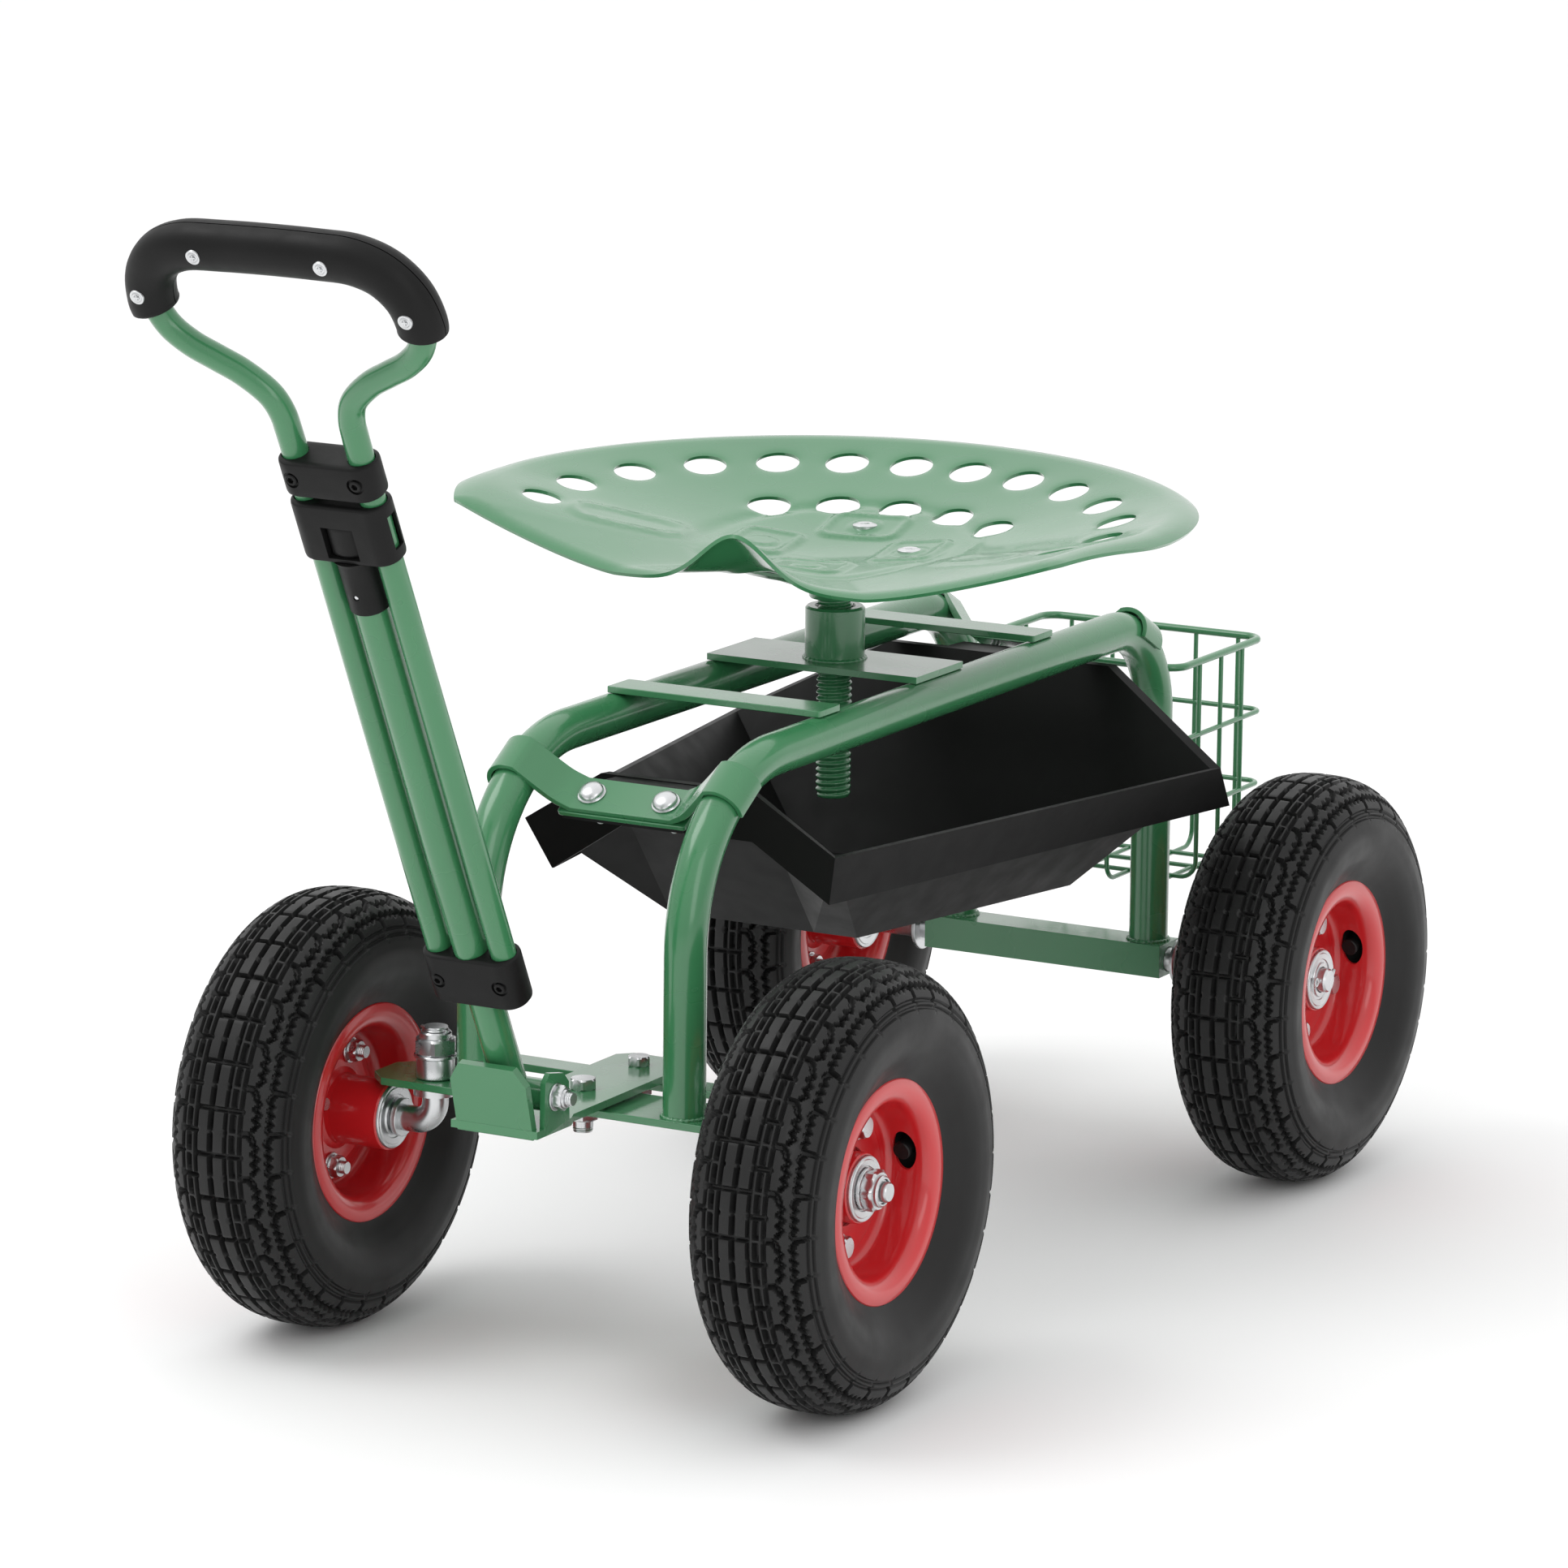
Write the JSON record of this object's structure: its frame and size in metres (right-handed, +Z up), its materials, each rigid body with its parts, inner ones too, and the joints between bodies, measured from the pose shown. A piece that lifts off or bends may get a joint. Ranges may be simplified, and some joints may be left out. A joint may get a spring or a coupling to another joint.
{
  "type": "garden work cart",
  "caption": "Wheeled garden work seat with a screw-lift tractor seat, steered front axle, extending loop handle, folded tool tray and wire basket.",
  "frame": {"origin": "on the floor, under the middle of the cart's outline", "axes": "+X to the cart's left side, -Y to the front handle, +Z up"},
  "size_m": [0.4614, 1.0794, 0.7004],
  "materials": {
    "green_paint": "glossy powder coat",
    "red_paint": "glossy powder coat",
    "zinc_steel": "bright zinc plate",
    "black_steel": "satin powder coat",
    "black_plastic": "fine moulded texture",
    "tyre": "matt tread rubber",
    "butyl": "smooth butyl"
  },
  "bodies": {
    "frame": {"left_rail": "green_paint", "right_rail": "green_paint", "seat_bar_front": "green_paint", "seat_bar_middle": "green_paint", "seat_bar_rear": "green_paint", "seat_nut_collar": "green_paint", "front_crossplate": "green_paint", "rear_axle_beam": "green_paint", "rear_axle": "zinc_steel", "front_tray_strap": "green_paint", "front_clamp_plate": "green_paint", "rear_tray_strap": "green_paint", "tray": "black_steel", "basket": "green_paint", "tongue_pivot_bolt": "zinc_steel"},
    "steering": {"steering_yoke": "green_paint", "handle_pivot_bolt": "zinc_steel", "tie_bar_bolt": "zinc_steel"},
    "tie_link": {"tie_bar": "zinc_steel"},
    "knuckle_left": {"spindle_left": "zinc_steel", "kingpin_nut_left": "zinc_steel", "hub_nut_fl": "zinc_steel"},
    "knuckle_right": {"spindle_right": "zinc_steel", "kingpin_nut_right": "zinc_steel", "hub_nut_fr": "zinc_steel"},
    "handle": {"handle_post": "green_paint", "lock_housing": "black_plastic"},
    "handle_slider": {"handle_loop": "green_paint", "grip_front": "black_plastic", "grip_rear": "black_plastic", "cross_clamp": "black_plastic", "lower_slide_block": "black_plastic"},
    "button": {"lock_button": "black_plastic"},
    "lift_screw": {"seat_screw": "green_paint"},
    "seat_top": {"seat": "green_paint", "seat_support_plate": "green_paint"},
    "wheel_fl": {"tyre_fl": "tyre", "inner_tube_fl": "butyl", "rim_outer_fl": "red_paint", "rim_inner_fl": "red_paint", "hub_fl": "red_paint", "bearings_fl": "zinc_steel"},
    "wheel_fr": {"tyre_fr": "tyre", "inner_tube_fr": "butyl", "rim_outer_fr": "red_paint", "rim_inner_fr": "red_paint", "hub_fr": "red_paint", "bearings_fr": "zinc_steel"},
    "wheel_rl": {"tyre_rl": "tyre", "inner_tube_rl": "butyl", "rim_outer_rl": "red_paint", "rim_inner_rl": "red_paint", "hub_rl": "red_paint", "bearings_rl": "zinc_steel"},
    "wheel_rr": {"tyre_rr": "tyre", "inner_tube_rr": "butyl", "rim_outer_rr": "red_paint", "rim_inner_rr": "red_paint", "hub_rr": "red_paint", "bearings_rr": "zinc_steel"}
  },
  "joints": [
    {"name": "steer", "type": "hinge", "parent": "frame", "child": "steering", "pos_m": [0, -0.19983, 0.16], "axis": [0, 0, 1], "range_deg": [-30, 30]},
    {"name": "steer_left", "type": "hinge", "parent": "frame", "child": "knuckle_left", "pos_m": [0.1, -0.19983, 0.13], "axis": [0, 0, 1], "range_deg": [-30, 30]},
    {"name": "steer_right", "type": "hinge", "parent": "frame", "child": "knuckle_right", "pos_m": [-0.1, -0.19983, 0.13], "axis": [0, 0, 1], "range_deg": [-30, 30]},
    {"name": "tie_bar_turn", "type": "hinge", "parent": "steering", "child": "tie_link", "pos_m": [0, -0.13583, 0.1546], "axis": [0, 0, 1], "range_deg": [-30, 30]},
    {"name": "roll_fl", "type": "hinge", "parent": "knuckle_left", "child": "wheel_fl", "pos_m": [0.172, -0.19983, 0.13], "axis": [1, 0, 0], "continuous": true},
    {"name": "roll_fr", "type": "hinge", "parent": "knuckle_right", "child": "wheel_fr", "pos_m": [-0.172, -0.19983, 0.13], "axis": [1, 0, 0], "continuous": true},
    {"name": "roll_rl", "type": "hinge", "parent": "frame", "child": "wheel_rl", "pos_m": [0.1786, 0.39417, 0.13], "axis": [1, 0, 0], "continuous": true},
    {"name": "roll_rr", "type": "hinge", "parent": "frame", "child": "wheel_rr", "pos_m": [-0.1786, 0.39417, 0.13], "axis": [1, 0, 0], "continuous": true},
    {"name": "handle_tilt", "type": "hinge", "parent": "steering", "child": "handle", "pos_m": [0, -0.27883, 0.18], "axis": [1, 0, 0], "range_deg": [-40, 0]},
    {"name": "handle_extend", "type": "slide", "parent": "handle", "child": "handle_slider", "axis": [0, -0.4384, 0.8988], "range_m": [0, 0.235]},
    {"name": "lock_press", "type": "slide", "parent": "handle", "child": "button", "axis": [0, 0.8988, 0.4384], "range_m": [0, 0.004], "stiffness_N_per_m": 300},
    {"name": "seat_lift", "type": "slide", "parent": "frame", "child": "lift_screw", "axis": [0, 0, 1], "range_m": [-0.004, 0.08]},
    {"name": "seat_turn", "type": "hinge", "parent": "lift_screw", "child": "seat_top", "pos_m": [0, 0.09717, 0.421], "axis": [0, 0, 1], "range_deg": [-360, 7200]}
  ],
  "couplings": [
    {"joint": "steer_left", "follows": "steer", "ratio": 1},
    {"joint": "steer_right", "follows": "steer", "ratio": 1},
    {"joint": "tie_bar_turn", "follows": "steer", "ratio": -1},
    {"joint": "seat_lift", "follows": "seat_turn", "m_per_rad": 0.00063662}
  ]
}
